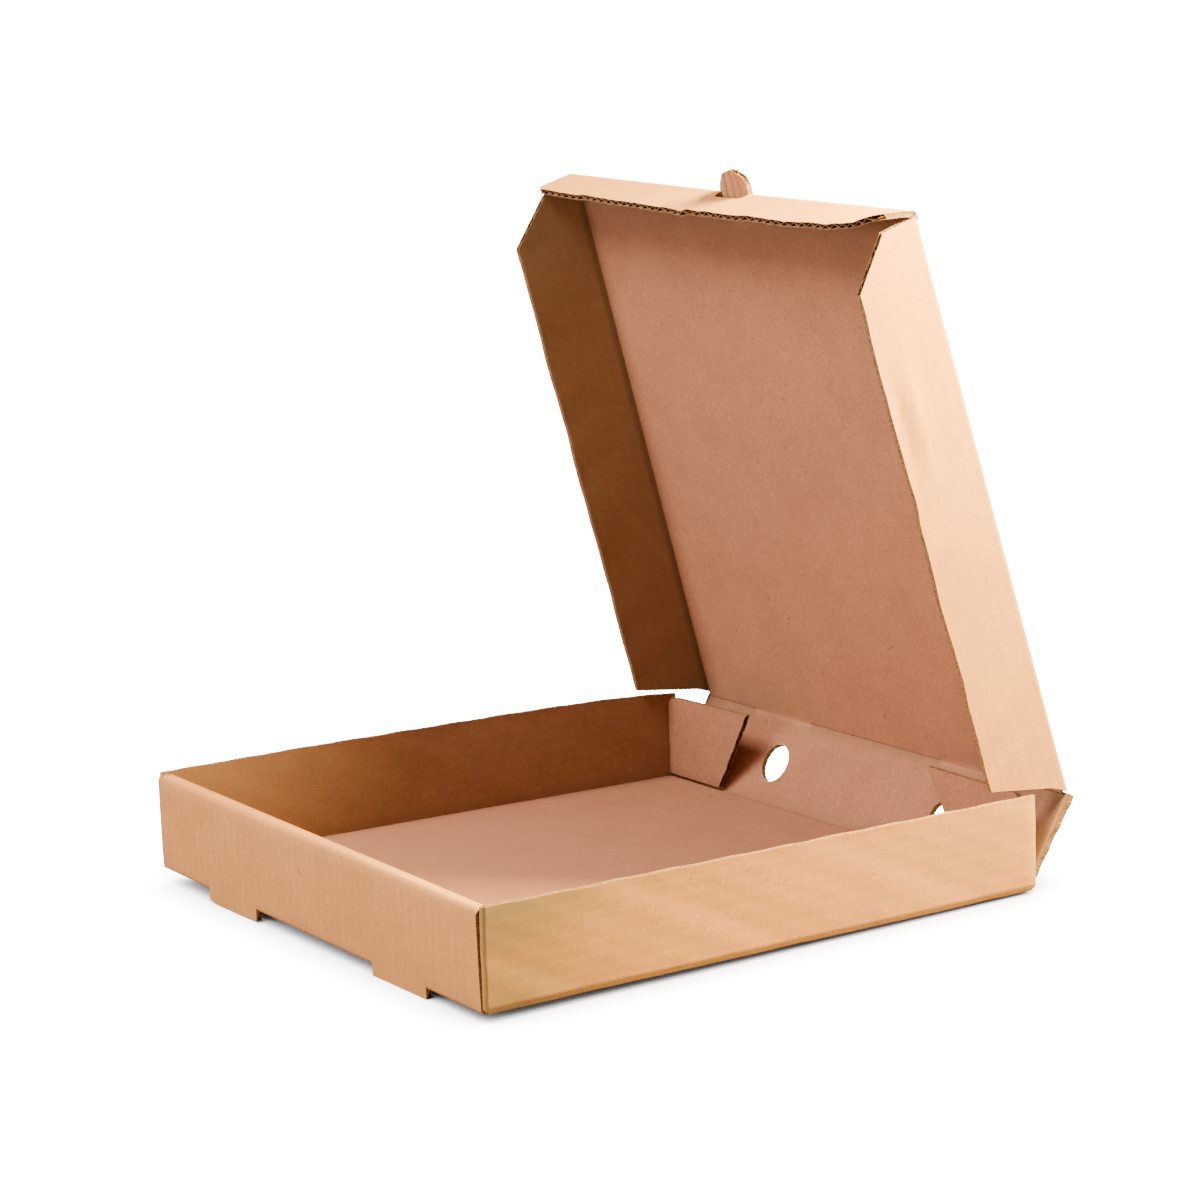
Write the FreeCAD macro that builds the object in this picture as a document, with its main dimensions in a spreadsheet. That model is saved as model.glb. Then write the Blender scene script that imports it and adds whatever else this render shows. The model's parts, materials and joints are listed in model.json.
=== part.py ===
import FreeCAD, Part
import Sketcher
import os
import re

# A pizza box of corrugated board: one die-cut sheet, folded into a tray and a lid.
# X runs along the front, Y from front to back and Z up. The origin is the middle of the
# tray's underside. The lid stands open and the back wall leans back, as in use.
# The sheet flexes at two creases, so it is modelled as three groups of panels that move.

doc = FreeCAD.newDocument("pizza_box")
sizes = doc.addObject("Spreadsheet::Sheet", "sizes")

DRIVING_SIZES = [
    ("board", 2.8, "thickness of the corrugated board"),
    ("box_width", 300, "outside of the tray, left to right"),
    ("box_depth", 304, "outside of the tray, front to back"),
    ("side_height", 47, "side walls, from the underside"),
    ("back_height", 49.6, "back wall, from the underside to the lid's outer face"),
    ("back_lean", 30, "degrees that the back wall leans back from upright"),
    ("lid_lean", 16, "degrees that the lid leans forward from upright"),
    ("crease_gap", 0.3, "play of a crease that flexes"),
    ("panel_play", 0.25, "play of a folded panel beside its neighbour"),
    ("wall_play", 1.2, "back wall's edge, from the side wall beside it"),
    ("lid_play", 0.5, "lid's edge at its crease, in from the back wall's edge"),
    ("lid_draw_in", 5.7, "lid's edge at its front, in from its edge at the crease"),
    ("nose_play", 0.7, "closed lid's front face, from the rolled-over panel"),
    ("rest_play", 0.4, "closed lid, over the front wall"),
    ("corner_play", 0.6, "closed lid, over the rear corner flaps"),
    ("flap_play", 3.2, "closed lid's side flaps, over the floor"),
    ("fold_radius", 1.2, "outside of a pressed fold"),
    ("shoulder_radius", 2.2, "outside of the two creases on top of the front wall"),
    ("front_inset", 1.4, "front panel's edge, in from the side wall's outside"),
    ("inner_inset", 1.0, "rolled-over panel's edge, in from the side wall's inside"),
    ("front_flap_reach", 62, "front corner flap, from the side wall"),
    ("foot_width", 47, "foot under the front wall"),
    ("foot_centre", 78, "middle of a foot, from the middle of the box"),
    ("foot_reach", 5.3, "foot, below the underside"),
    ("tab_width", 43, "locking tab of the rolled-over panel"),
    ("tab_reach", 3.4, "locking tab, below the underside"),
    ("vent_diameter", 20, "round vent hole in the back wall"),
    ("vent_centre", 70, "middle of a vent, from the middle of the box"),
    ("vent_height", 23, "middle of a vent, from the underside"),
    ("corner_top", 72, "rear corner flap's top edge, from the side wall"),
    ("corner_bottom", 46, "rear corner flap's bottom edge, from the side wall"),
    ("corner_lift", 1, "rear corner flap's bottom, above the floor"),
    ("relief_width", 5.6, "step at the root of the rear corner flap"),
    ("relief_depth", 8, "step at the root of the rear corner flap"),
    ("tip_radius", 1.5, "cut corners of flaps"),
    ("bridge_width", 48, "uncut stretch of the lid's crease"),
    ("bridge_centre", 77.5, "middle of an uncut stretch, from the middle of the box"),
    ("slit_width", 1, "lid's edge, back from the crease where it is slit"),
    ("rear_start", 1.9, "side flap's rear end at the fold, from the crease"),
    ("knee_setback", 8, "side flap's rear end at its knee, from the crease"),
    ("knee_depth", 9.5, "knee of the rear end, from the lid's outer face"),
    ("rear_setback", 22, "side flap's rear end at its free edge, from the crease"),
    ("chamfer_length", 24.4, "cut corner of the side flap, along its free edge"),
    ("chamfer_start", 22, "cut corner of the side flap, from the lid's outer face"),
    ("front_flap_depth", 24.5, "front flap, from the lid's outer face"),
    ("front_flap_radius", 7, "front flap's rounded corners"),
    ("tongue_width", 23.5, "pull tongue at the front of the lid"),
    ("tongue_length", 12, "pull tongue, out from the front flap"),
    ("tongue_radius", 7, "pull tongue's rounded end"),
    ("tongue_play", 0.8, "notch beside the tongue, where it was cut free"),
    ("flute_pitch", 6.4, "waves of the board's middle layer"),
    ("paper", 0.36, "paper on each face of the board"),
    ("cell_wide", 4.4, "open cell between two waves, at the face"),
    ("cell_narrow", 1.2, "open cell between two waves, at its bottom"),
    ("cell_depth", 6, "open cells, in from a cut edge"),
    ("edge_margin", 3.2, "stretch at a cut edge's ends that is pressed shut"),
]

# Sizes that follow from the ones above: each part of the sheet fits its neighbour with
# the play named for it.
WORKED_OUT = {
    "back_width": "box_width - board * 2 - wall_play * 2",
    "lid_rear_width": "back_width - lid_play * 2",
    "lid_front_width": "lid_rear_width - lid_draw_in * 2",
    "lid_length": "box_depth - board * 7 / 2 - panel_play * 2 - nose_play",
    "front_height": "back_height - board - rest_play",
    "corner_height": "back_height - board - corner_play",
    "lid_flap_depth": "back_height - board - flap_play",
}

for row, (alias, value, meaning) in enumerate(DRIVING_SIZES, start=1):
    sizes.set(f"A{row}", meaning)
    sizes.set(f"B{row}", str(value))
    sizes.setAlias(f"B{row}", alias)
doc.recompute()

EXPRESSION_WORDS = {"sin", "cos", "atan", "floor"}


def bound(text):
    """Turn an expression on size names into one that reads the sheet."""
    def cell(match):
        word = match.group(0)
        if word in WORKED_OUT:
            return f"({bound(WORKED_OUT[word])})"
        return word if word in EXPRESSION_WORDS else f"sizes.{word}"
    return re.sub(r"[a-z_]+", cell, text)


def new_body(label):
    body = doc.addObject("PartDesign::Body", label)
    body.Label = label
    return body


def new_sketch(body, name, plane, lift="0"):
    """A sketch on one of the body's own origin planes, lifted along its normal."""
    sketch = body.newObject("Sketcher::SketchObject", name)
    planes = [f for f in body.Origin.OriginFeatures if f.Role == plane]
    sketch.AttachmentSupport = [(planes[0], "")]
    sketch.MapMode = "FlatFace"
    sketch.setExpression("AttachmentOffset.Base.z", bound(lift))
    return sketch


def fix_point(sketch, edge, point, across, up):
    """Hold one point of the sketch at a place given by two expressions."""
    for kind, text in (("DistanceX", across), ("DistanceY", up)):
        index = sketch.addConstraint(Sketcher.Constraint(kind, -1, 1, edge, point, 1.0))
        sketch.setExpression(f"Constraints[{index}]", bound(text))


def add_outline(sketch, corners):
    """A closed outline of straight edges through corners given as expressions."""
    first = sketch.GeometryCount
    count = len(corners)
    for i in range(count):
        start = FreeCAD.Vector(i, i * i, 0)
        end = FreeCAD.Vector((i + 1) % count, ((i + 1) % count) ** 2, 0)
        sketch.addGeometry(Part.LineSegment(start, end), False)
    for i in range(count):
        following = first + (i + 1) % count
        sketch.addConstraint(Sketcher.Constraint("Coincident", first + i, 2, following, 1))
    for i, (across, up) in enumerate(corners):
        fix_point(sketch, first + i, 1, across, up)


def add_circle(sketch, across, up, diameter):
    circle = Part.Circle(FreeCAD.Vector(0, 0, 0), FreeCAD.Vector(0, 0, 1), 1)
    edge = sketch.addGeometry(circle, False)
    fix_point(sketch, edge, 3, across, up)
    index = sketch.addConstraint(Sketcher.Constraint("Diameter", edge, 2.0))
    sketch.setExpression(f"Constraints[{index}]", bound(diameter))


def rectangle(left, right, low, high):
    return [(left, low), (right, low), (right, high), (left, high)]


def pad(body, name, sketch, length, symmetric=False, backwards=False):
    feature = body.newObject("PartDesign::Pad", name)
    feature.Profile = sketch
    feature.setExpression("Length", bound(length))
    feature.SideType = "Symmetric" if symmetric else "One side"
    feature.Reversed = backwards
    doc.recompute()
    return feature


def pocket(body, name, sketch):
    """Cut right through, both ways from the sketch."""
    before = body.Shape.Volume
    feature = body.newObject("PartDesign::Pocket", name)
    feature.Profile = sketch
    feature.Type = "ThroughAll"
    feature.SideType = "Symmetric"
    doc.recompute()
    if body.Shape.Volume >= before:
        raise RuntimeError(f"{name} cuts nothing")
    return feature


def size(alias):
    return float(sizes.get(alias))


def add_cell(sketch, long_way, middle, face, inner, stretch):
    """Section of one open cell: wide at the face's paper and narrow at its bottom."""
    corners = [(f"({middle} - cell_wide / 2) * {stretch}", face),
               (f"({middle} + cell_wide / 2) * {stretch}", face),
               (f"({middle} + cell_narrow / 2) * {stretch}", inner),
               (f"({middle} - cell_narrow / 2) * {stretch}", inner)]
    if long_way == "V_Axis":
        corners = [(up, across) for across, up in corners]
    add_outline(sketch, corners)


def open_flutes(body, name, cells, long_way, start, length, near_face, backwards,
                along=None, stretch="1"):
    """Cells of the wave along a straight cut edge that starts at start and is length long.

    cells is an empty sketch in the plane of the edge, and near_face the board's face with
    the lower value. Cells open towards the two faces in turn, half a wave apart. Where the
    edge is cut on the slant, they run along the body's axis named by along, and stretch is
    the edge's length over its reach across the flutes.
    """
    first = f"{start} + edge_margin"
    low = f"{near_face} + paper"
    high = f"{near_face} + board - paper"
    add_cell(cells, long_way, first, low, high, stretch)
    add_cell(cells, long_way, f"{first} + flute_pitch / 2", high, low, stretch)
    before = body.Shape.Volume
    cut = body.newObject("PartDesign::Pocket", f"{name}_cut")
    cut.Profile = cells
    cut.Type = "Length"
    cut.SideType = "One side"
    cut.Reversed = backwards
    if along:
        axes = [f for f in body.Origin.OriginFeatures if f.Role == along]
        cut.ReferenceAxis = (axes[0], [""])
        cut.AlongSketchNormal = False
    cut.setExpression("Length", bound("cell_depth"))
    doc.recompute()
    row = body.newObject("PartDesign::LinearPattern", f"{name}_row")
    row.Originals = [cut]
    row.Direction = (cells, [long_way])
    row.Mode = "Spacing"
    row.setExpression("Offset", bound(f"flute_pitch * {stretch}"))
    row.setExpression("Occurrences", bound(f"floor(({length} - edge_margin * 2) / flute_pitch)"))
    body.Tip = row
    doc.recompute()
    if body.Shape.Volume >= before:
        raise RuntimeError(f"{name} opens no cells")


def slope_sketch(sketch, angle, up):
    """Lean an upright sketch by an angle about its own X axis, from a height up."""
    sketch.AttachmentOffset.Rotation = FreeCAD.Rotation(FreeCAD.Vector(1, 0, 0), 1)
    sketch.setExpression("AttachmentOffset.Rotation.Angle", bound(angle.lstrip("-")))
    sketch.setExpression("AttachmentOffset.Rotation.Axis.x", "-1" if angle[0] == "-" else "1")
    sketch.setExpression("AttachmentOffset.Base.y", bound(up))


def round_edges(body, name, radius, wanted):
    """Fillet the straight edges for which wanted(middle, direction) is true."""
    base = body.Tip
    names = []
    for number, edge in enumerate(base.Shape.Edges, start=1):
        if edge.Curve.TypeId != "Part::GeomLine":
            continue
        ends = [vertex.Point for vertex in edge.Vertexes]
        middle = (ends[0] + ends[1]) * 0.5
        direction = (ends[1] - ends[0]).normalize()
        if wanted(middle, direction):
            names.append(f"Edge{number}")
    if not names:
        raise RuntimeError(f"{name} finds no edge")
    feature = body.newObject("PartDesign::Fillet", name)
    feature.Base = (base, names)
    feature.setExpression("Radius", bound(radius))
    doc.recompute()
    return feature


def near(one, other):
    return abs(one - other) < 0.01


SIDES = (("left", "-"), ("right", ""))


def make_tray():
    """Floor, side walls, double front wall with feet, and rear corner flaps."""
    body = new_body("tray")

    floor = new_sketch(body, "floor_outline", "XY_Plane")
    add_outline(floor, rectangle("-box_width / 2", "box_width / 2", "-box_depth / 2",
                                 "box_depth / 2 - board - crease_gap"))
    pad(body, "floor", floor, "board")

    walls = new_sketch(body, "side_wall_outlines", "XY_Plane")
    for _, sign in SIDES:
        add_outline(walls, rectangle(f"{sign}(box_width / 2 - board)", f"{sign}(box_width / 2)",
                                     "-box_depth / 2 + board + panel_play", "box_depth / 2"))
    pad(body, "side_walls", walls, "side_height")

    holes = new_sketch(body, "lock_hole_outlines", "XY_Plane")
    for _, sign in SIDES:
        add_outline(holes, rectangle(f"{sign}(foot_centre - foot_width / 2)",
                                     f"{sign}(foot_centre + foot_width / 2)",
                                     "-box_depth / 2 + board",
                                     "-box_depth / 2 + board * 3 + panel_play * 3"))
    pocket(body, "lock_holes", holes)

    front = new_sketch(body, "front_panel_outline", "XZ_Plane", "box_depth / 2 - board")
    add_outline(front, rectangle("-box_width / 2 + front_inset", "box_width / 2 - front_inset",
                                 "0", "front_height"))
    pad(body, "front_panel", front, "board")

    feet = new_sketch(body, "foot_outlines", "XZ_Plane", "box_depth / 2 - board")
    for _, sign in SIDES:
        add_outline(feet, rectangle(f"{sign}(foot_centre - foot_width / 2)",
                                    f"{sign}(foot_centre + foot_width / 2)",
                                    "-foot_reach", "board"))
    pad(body, "feet", feet, "board")

    rolled = new_sketch(body, "rolled_panel_section", "YZ_Plane")
    add_outline(rolled, [
        ("-box_depth / 2 + board", "front_height - board"),
        ("-box_depth / 2 + board * 2 + panel_play * 2", "front_height - board"),
        ("-box_depth / 2 + board * 2 + panel_play * 2", "board"),
        ("-box_depth / 2 + board * 3 + panel_play * 2", "board"),
        ("-box_depth / 2 + board * 3 + panel_play * 2", "front_height"),
        ("-box_depth / 2 + board", "front_height"),
    ])
    pad(body, "rolled_panel", rolled, "box_width - board * 2 - inner_inset * 2", symmetric=True)

    tabs = new_sketch(body, "tab_outlines", "XZ_Plane",
                      "box_depth / 2 - board * 3 - panel_play * 2")
    for _, sign in SIDES:
        add_outline(tabs, rectangle(f"{sign}(foot_centre - tab_width / 2)",
                                    f"{sign}(foot_centre + tab_width / 2)",
                                    "-tab_reach", "board * 2"))
    pad(body, "locking_tabs", tabs, "board")

    front_flaps = new_sketch(body, "front_corner_flap_outlines", "XZ_Plane",
                             "box_depth / 2 - board * 2 - panel_play")
    for _, sign in SIDES:
        add_outline(front_flaps, rectangle(f"{sign}(box_width / 2 - board - front_flap_reach)",
                                           f"{sign}(box_width / 2)",
                                           "board + corner_lift",
                                           "front_height - board - panel_play"))
    pad(body, "front_corner_flaps", front_flaps, "board")

    corners = new_sketch(body, "rear_corner_flap_outlines", "XZ_Plane",
                         "-(box_depth / 2 - board - crease_gap)")
    for _, sign in SIDES:
        add_outline(corners, [
            (f"{sign}(box_width / 2 - board / 2)", "board + corner_lift"),
            (f"{sign}(box_width / 2 - board - corner_bottom)", "board + corner_lift"),
            (f"{sign}(box_width / 2 - board - corner_top)", "corner_height"),
            (f"{sign}(box_width / 2 - board - relief_width)", "corner_height"),
            (f"{sign}(box_width / 2 - board - relief_width)", "corner_height - relief_depth"),
            (f"{sign}(box_width / 2 - board / 2)", "corner_height - relief_depth"),
        ])
    pad(body, "rear_corner_flaps", corners, "board")

    front_face = -size("box_depth") / 2
    wall_back = front_face + size("board") * 3 + size("panel_play") * 2
    top = max(point.Z for point in body.Shape.Vertexes if near(point.Y, front_face))
    round_edges(body, "front_wall_shoulders", "shoulder_radius",
                lambda middle, way: near(abs(way.x), 1) and near(middle.z, top)
                and (near(middle.y, front_face) or near(middle.y, wall_back)))
    side_face = size("box_width") / 2
    round_edges(body, "side_folds", "fold_radius",
                lambda middle, way: near(abs(way.y), 1) and near(middle.z, 0)
                and near(abs(middle.x), side_face) and middle.y > front_face + size("board"))
    flap_tip = side_face - size("board") - size("corner_top")
    flap_top = max(point.Z for point in body.Shape.Vertexes if near(point.X, flap_tip))
    flap_root = side_face - size("board") - size("relief_width")
    round_edges(body, "corner_flap_tips", "tip_radius",
                lambda middle, way: near(abs(way.y), 1) and near(middle.z, flap_top)
                and (near(abs(middle.x), flap_tip) or near(abs(middle.x), flap_root)))

    for side, sign in SIDES:
        foot = new_sketch(body, f"{side}_foot_cells", "XY_Plane", "-foot_reach")
        open_flutes(body, f"{side}_foot", foot, "H_Axis", f"{sign}foot_centre - foot_width / 2",
                    "foot_width", "-box_depth / 2", True)
        tab = new_sketch(body, f"{side}_tab_cells", "XY_Plane", "-tab_reach")
        open_flutes(body, f"{side}_tab", tab, "H_Axis", f"{sign}foot_centre - tab_width / 2",
                    "tab_width", "-box_depth / 2 + board * 2 + panel_play * 2", True)
        corner = new_sketch(body, f"{side}_corner_cells", "YZ_Plane",
                            f"{sign}(box_width / 2 - board - corner_bottom)")
        slant = "atan((corner_top - corner_bottom) / (corner_height - board - corner_lift))"
        slope_sketch(corner, ("" if sign else "-") + slant, "board + corner_lift")
        open_flutes(body, f"{side}_corner", corner, "V_Axis", "0",
                    "(corner_height - board - corner_lift)",
                    "box_depth / 2 - board * 2 - crease_gap", not sign,
                    along="X_Axis", stretch=f"(1 / cos({slant}))")
    return body


def make_back_wall():
    """Back wall, upright in its own frame, which starts on the crease at its foot."""
    body = new_body("back_wall")

    panel = new_sketch(body, "back_panel_outline", "XZ_Plane")
    add_outline(panel, rectangle("-back_width / 2", "back_width / 2", "0",
                                 "back_height - board * 3 / 2 - crease_gap"))
    pad(body, "back_panel", panel, "board", symmetric=True)

    roll = new_sketch(body, "foot_roll_section", "YZ_Plane")
    add_circle(roll, "0", "0", "board")
    pad(body, "foot_roll", roll, "back_width", symmetric=True)

    vents = new_sketch(body, "vent_outlines", "XZ_Plane")
    for _, sign in SIDES:
        add_circle(vents, f"{sign}(vent_centre)", "vent_height - board / 2", "vent_diameter")
    pocket(body, "vents", vents)

    box = body.Shape.BoundBox
    round_edges(body, "back_panel_corners", "tip_radius",
                lambda middle, way: near(abs(way.y), 1) and near(middle.z, box.ZMax)
                and near(abs(middle.x), box.XMax))

    body.Placement.Rotation = FreeCAD.Rotation(FreeCAD.Vector(1, 0, 0), -size("back_lean"))
    body.setExpression("Placement.Base.y", bound("box_depth / 2 - board / 2"))
    body.setExpression("Placement.Base.z", bound("board / 2"))
    return body


def make_lid():
    """Lid with its flaps and tongue, closed in its own frame, which starts on its crease."""
    body = new_body("lid")

    panel = new_sketch(body, "lid_outline", "XY_Plane")
    add_outline(panel, [
        ("-lid_rear_width / 2", "-slit_width"),
        ("lid_rear_width / 2", "-slit_width"),
        ("lid_front_width / 2", "-lid_length"),
        ("-lid_front_width / 2", "-lid_length"),
    ])
    pad(body, "lid_panel", panel, "board", symmetric=True)

    for side, sign in SIDES:
        roll = new_sketch(body, f"{side}_bridge_section", "YZ_Plane",
                          f"{sign}(bridge_centre) - bridge_width / 2")
        add_circle(roll, "0", "0", "board")
        pad(body, f"{side}_bridge_roll", roll, "bridge_width")
    strips = new_sketch(body, "bridge_outlines", "XY_Plane")
    for _, sign in SIDES:
        add_outline(strips, rectangle(f"{sign}(bridge_centre - bridge_width / 2)",
                                      f"{sign}(bridge_centre + bridge_width / 2)",
                                      "-slit_width - board", "0"))
    pad(body, "bridges", strips, "board", symmetric=True)

    taper = "atan((lid_rear_width - lid_front_width) / 2 / lid_length)"
    for side, sign in SIDES:
        flap = new_sketch(body, f"{side}_flap_outline", "YZ_Plane", f"{sign}(lid_rear_width / 2)")
        flap.AttachmentOffset.Rotation = FreeCAD.Rotation(FreeCAD.Vector(0, 1, 0), 1)
        flap.setExpression("AttachmentOffset.Rotation.Angle", bound(taper))
        axis_way = 1 if sign else -1
        flap.setExpression("AttachmentOffset.Rotation.Axis.y", str(axis_way))
        add_outline(flap, [
            ("-rear_start", "board / 2"),
            ("-knee_setback", "board / 2 - knee_depth"),
            ("-rear_setback", "board / 2 - lid_flap_depth"),
            ("-lid_length + chamfer_length", "board / 2 - lid_flap_depth"),
            ("-lid_length + board + panel_play", "board / 2 - chamfer_start"),
            ("-lid_length + board + panel_play", "board / 2"),
        ])
        pad(body, f"{side}_flap", flap, "board", backwards=(sign == ""))

    front = new_sketch(body, "front_flap_outline", "XZ_Plane", "lid_length - board")
    add_outline(front, [
        ("-lid_front_width / 2", "board / 2"),
        ("-lid_front_width / 2", "board / 2 - front_flap_depth"),
        ("lid_front_width / 2", "board / 2 - front_flap_depth"),
        ("lid_front_width / 2", "board / 2"),
        ("tongue_width / 2 + tongue_play", "board / 2"),
        ("tongue_width / 2 + tongue_play", "-board / 2 - tongue_length"),
        ("-tongue_width / 2 - tongue_play", "-board / 2 - tongue_length"),
        ("-tongue_width / 2 - tongue_play", "board / 2"),
    ])
    pad(body, "front_flap", front, "board")

    tongue = new_sketch(body, "tongue_outline", "XY_Plane")
    add_outline(tongue, rectangle("-tongue_width / 2", "tongue_width / 2",
                                  "-lid_length - tongue_length", "-lid_length + board"))
    pad(body, "tongue", tongue, "board", symmetric=True)

    tongue_end = body.Shape.BoundBox.YMin
    front_face = tongue_end + size("tongue_length")
    outer = size("board") / 2
    free_edge = outer - size("front_flap_depth")
    tongue_half = size("tongue_width") / 2
    round_edges(body, "front_flap_corners", "front_flap_radius",
                lambda middle, way: near(abs(way.y), 1) and near(middle.z, free_edge))
    round_edges(body, "tongue_corners", "tongue_radius",
                lambda middle, way: near(abs(way.z), 1) and near(middle.y, tongue_end)
                and near(abs(middle.x), tongue_half))
    round_edges(body, "front_fold", "fold_radius",
                lambda middle, way: near(abs(way.x), 1) and near(middle.z, outer)
                and near(middle.y, front_face))
    nose = new_sketch(body, "nose_cells", "XY_Plane", "board / 2 - front_flap_depth")
    open_flutes(body, "nose", nose, "H_Axis", "-lid_front_width / 2 + front_flap_radius",
                "(lid_front_width - front_flap_radius * 2)", "-lid_length", True)
    for side, sign in SIDES:
        for end, setback, reach, rise, lean in (
                ("cut_corner", "(lid_length - chamfer_length)", "(lid_flap_depth - chamfer_start)",
                 "(chamfer_length - board - panel_play)", ""),
                ("rear_end", "rear_setback", "(lid_flap_depth - knee_depth)",
                 "(rear_setback - knee_setback)", "-")):
            slant = f"atan({rise} / {reach})"
            cells = new_sketch(body, f"{side}_{end}_cells", "XZ_Plane", setback)
            slope_sketch(cells, lean + slant, "board / 2 - lid_flap_depth")
            middle = f"({setback} {lean or '+'} {rise} / 2)"
            outside = f"(lid_rear_width / 2 - lid_draw_in * {middle} / lid_length)"
            near_face = f"-{outside}" if sign else f"{outside} - board"
            open_flutes(body, f"{side}_{end}", cells, "V_Axis", "0", reach, near_face,
                        lean == "", along="Y_Axis", stretch=f"(1 / cos({slant}))")

    rise = "(back_height - board)"
    turn = size("lid_lean") - 90
    body.Placement.Rotation = FreeCAD.Rotation(FreeCAD.Vector(1, 0, 0), turn)
    body.setExpression("Placement.Base.y",
                       bound(f"box_depth / 2 - board / 2 + {rise} * sin(back_lean)"))
    body.setExpression("Placement.Base.z", bound(f"board / 2 + {rise} * cos(back_lean)"))
    return body


bodies = [make_tray(), make_back_wall(), make_lid()]
doc.recompute()

for item in doc.Objects:
    if "Invalid" in item.State or "Error" in item.State:
        raise RuntimeError(f"{item.Label} is in state {item.State}")
for body in bodies:
    if body.Shape.isNull() or not body.Shape.isValid() or len(body.Shape.Solids) != 1:
        raise RuntimeError(f"{body.Label} is not one valid solid")

os.makedirs("parts", exist_ok=True)
for body in bodies:
    body.Shape.exportStep(f"parts/{body.Label}.step")
    box = body.Shape.BoundBox
    print(body.Label, round(body.Shape.Volume / 1000, 1), "cm3", box)
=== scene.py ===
import bpy
import json
import numpy as np
from mathutils import Matrix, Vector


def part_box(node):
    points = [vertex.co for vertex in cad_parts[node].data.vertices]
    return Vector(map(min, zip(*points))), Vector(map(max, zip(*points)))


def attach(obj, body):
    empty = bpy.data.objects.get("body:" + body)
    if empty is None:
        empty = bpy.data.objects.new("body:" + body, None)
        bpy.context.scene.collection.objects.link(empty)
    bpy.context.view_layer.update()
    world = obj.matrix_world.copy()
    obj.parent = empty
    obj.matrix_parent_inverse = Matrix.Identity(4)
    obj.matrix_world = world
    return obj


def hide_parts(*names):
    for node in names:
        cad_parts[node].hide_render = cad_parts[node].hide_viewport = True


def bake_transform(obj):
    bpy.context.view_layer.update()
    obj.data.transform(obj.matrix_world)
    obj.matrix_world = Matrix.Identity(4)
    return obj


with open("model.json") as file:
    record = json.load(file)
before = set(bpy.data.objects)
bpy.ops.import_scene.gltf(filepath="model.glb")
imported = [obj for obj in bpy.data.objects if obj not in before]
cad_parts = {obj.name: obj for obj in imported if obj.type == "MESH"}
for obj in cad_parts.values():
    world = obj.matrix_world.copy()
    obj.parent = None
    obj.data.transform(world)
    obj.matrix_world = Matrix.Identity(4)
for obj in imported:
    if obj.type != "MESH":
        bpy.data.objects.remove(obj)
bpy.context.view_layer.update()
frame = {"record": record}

# Camera: a long lens in front of the box, to its right and a little above it.
# Its place and turn were found from the corners of the box in the photograph.

camera_place = np.array((1.48087, -0.95044, 0.47987))
camera_yaw = 0.99537
camera_pitch = 0.19221
camera_roll = -0.02912


def camera_axes(yaw, pitch, roll):
    """Right, up and backward: level axes from yaw and pitch, then turned about the view by roll."""
    ahead = np.array((-np.sin(yaw) * np.cos(pitch), np.cos(yaw) * np.cos(pitch), -np.sin(pitch)))
    right = np.array((np.cos(yaw), np.sin(yaw), 0.0))
    up = np.cross(right, ahead)
    rolled_right = np.cos(roll) * right + np.sin(roll) * up
    rolled_up = -np.sin(roll) * right + np.cos(roll) * up
    return rolled_right, rolled_up, -ahead


def place_with_axes(thing, place, axes):
    """Turn and move a camera or lamp: axes are its own right, up and backward."""
    pose = np.eye(4)
    pose[:3, :3] = np.array(axes).T
    pose[:3, 3] = place
    thing.matrix_world = Matrix(pose.tolist())
    bpy.context.collection.objects.link(thing)


camera = bpy.data.objects.new("camera", bpy.data.cameras.new("camera"))
camera.data.lens = 113.85
camera.data.sensor_width = 36.0
camera.data.clip_end = 100.0
place_with_axes(camera, camera_place, camera_axes(camera_yaw, camera_pitch, camera_roll))
bpy.context.scene.camera = camera

# Stage: a plain pale floor, shown nearly white except close round the box, where the ambient
# shade leaves its own grey. The feet tip the box back by about a degree, so in the box's own
# frame the floor slopes from the feet's bottoms to the fold at the rear.

tray_low, tray_high = (np.array(corner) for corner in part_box("tray"))
floor_half = 60.0
floor_glow = 22.0
shade_reach = 0.03
shade_power = 2.2
foot_z = tray_low[2]
floor_slope = -foot_z / (tray_high[1] - tray_low[1])


def floor_height(y):
    """The straight line through the feet's bottoms and the tray's rear fold."""
    return foot_z + (y - tray_low[1]) * floor_slope


corners = [(x, y, floor_height(y)) for x, y in
           ((-floor_half, -floor_half), (floor_half, -floor_half),
            (floor_half, floor_half), (-floor_half, floor_half))]
floor_mesh = bpy.data.meshes.new("studio_floor")
floor_mesh.from_pydata(corners, [], [(0, 1, 2, 3)])
studio_floor = bpy.data.objects.new("studio_floor", floor_mesh)
bpy.context.collection.objects.link(studio_floor)

floor_paint = bpy.data.materials.new("studio_floor")
floor_paint.use_nodes = True
nodes = floor_paint.node_tree.nodes
links = floor_paint.node_tree.links
matt = nodes["Principled BSDF"]
matt.inputs["Base Color"].default_value = (0.20, 0.20, 0.21, 1)
matt.inputs["Roughness"].default_value = 0.95
matt.inputs["Specular IOR Level"].default_value = 0.1
glow = nodes.new("ShaderNodeEmission")
ray = nodes.new("ShaderNodeLightPath")
near = nodes.new("ShaderNodeAmbientOcclusion")
near.inputs["Distance"].default_value = shade_reach
open_floor = nodes.new("ShaderNodeMath")
open_floor.operation = "POWER"
open_floor.inputs[1].default_value = shade_power
links.new(near.outputs["AO"], open_floor.inputs[0])
strength = nodes.new("ShaderNodeMath")
strength.operation = "MULTIPLY"
links.new(ray.outputs["Is Camera Ray"], strength.inputs[0])
links.new(open_floor.outputs[0], strength.inputs[1])
glow.inputs["Color"].default_value = (floor_glow, floor_glow, floor_glow, 1)
links.new(strength.outputs[0], glow.inputs["Strength"])
both = nodes.new("ShaderNodeAddShader")
links.new(matt.outputs[0], both.inputs[0])
links.new(glow.outputs[0], both.inputs[1])
links.new(both.outputs[0], nodes["Material Output"].inputs["Surface"])
floor_mesh.materials.append(floor_paint)

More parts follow.
